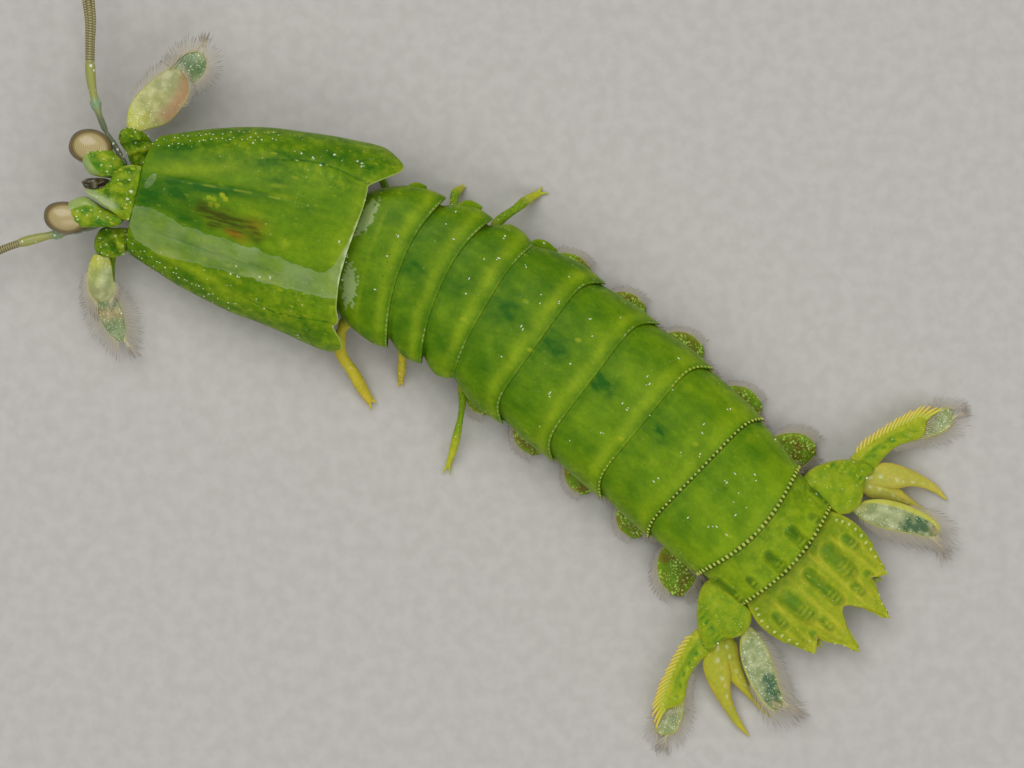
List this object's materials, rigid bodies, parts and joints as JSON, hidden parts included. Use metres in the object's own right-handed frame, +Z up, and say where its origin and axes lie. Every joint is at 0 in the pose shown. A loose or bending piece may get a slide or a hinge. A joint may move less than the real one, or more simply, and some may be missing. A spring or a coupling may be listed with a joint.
{
  "type": "mantis shrimp",
  "caption": "Life-size bright green mantis shrimp lying with its body bent to one side, stalked eyes forward and its spiny tail fan spread.",
  "frame": {"origin": "middle of the footprint, on the floor that the animal rests on", "axes": "+X towards the tail end of the bent body's footprint, +Y to the animal's right, +Z up; the head points towards -X"},
  "size_m": [0.0849, 0.0646, 0.0091],
  "materials": {
    "green_shell": "wet, smooth and slightly translucent, with fine pale specks and darker green patches",
    "yellow_green_shell": "wet yellow-green shell with paler beads and edges",
    "clear_blade": "thin translucent blue-green blade with fine bright dots",
    "cornea": "glassy golden eye with fine bands and a dark rim",
    "pale_limb": "smooth pale green limb"
  },
  "bodies": {
    "root": {"carapace": "green_shell", "rostrum": "yellow_green_shell", "head": "green_shell", "thorax_somite_6": "green_shell", "thorax_somite_7": "green_shell", "thorax_somite_8": "green_shell", "abdomen_somite_1": "green_shell", "abdomen_somite_2": "green_shell", "abdomen_somite_3": "green_shell", "abdomen_somite_4": "green_shell", "abdomen_somite_5": "green_shell", "abdomen_somite_6": "green_shell", "telson": "yellow_green_shell", "eye_stalk_right": "yellow_green_shell", "cornea_right": "cornea", "antennule_right": "clear_blade", "antenna_right": "green_shell", "antennal_scale_right": "clear_blade", "claw_upper_arm_right": "pale_limb", "claw_hand_right": "pale_limb", "claw_finger_right": "pale_limb", "feeding_limb_right_1": "pale_limb", "feeding_limb_right_2": "pale_limb", "feeding_limb_right_3": "pale_limb", "leg_right_1": "yellow_green_shell", "leg_right_2": "yellow_green_shell", "leg_right_3": "yellow_green_shell", "swimming_flap_right_1": "yellow_green_shell", "swimming_flap_right_2": "yellow_green_shell", "swimming_flap_right_3": "yellow_green_shell", "swimming_flap_right_4": "yellow_green_shell", "swimming_flap_right_5": "yellow_green_shell", "uropod_base_right": "yellow_green_shell", "uropod_exopod_right": "yellow_green_shell", "uropod_paddle_right": "clear_blade", "uropod_endopod_right": "clear_blade", "eye_stalk_left": "yellow_green_shell", "cornea_left": "cornea", "antennule_left": "clear_blade", "antenna_left": "green_shell", "antennal_scale_left": "clear_blade", "claw_upper_arm_left": "pale_limb", "claw_hand_left": "pale_limb", "claw_finger_left": "pale_limb", "feeding_limb_left_1": "pale_limb", "feeding_limb_left_2": "pale_limb", "feeding_limb_left_3": "pale_limb", "leg_left_1": "yellow_green_shell", "leg_left_2": "yellow_green_shell", "leg_left_3": "yellow_green_shell", "swimming_flap_left_1": "yellow_green_shell", "swimming_flap_left_2": "yellow_green_shell", "swimming_flap_left_3": "yellow_green_shell", "swimming_flap_left_4": "yellow_green_shell", "swimming_flap_left_5": "yellow_green_shell", "uropod_base_left": "yellow_green_shell", "uropod_exopod_left": "yellow_green_shell", "uropod_paddle_left": "clear_blade", "uropod_endopod_left": "clear_blade"}
  },
  "joints": []
}
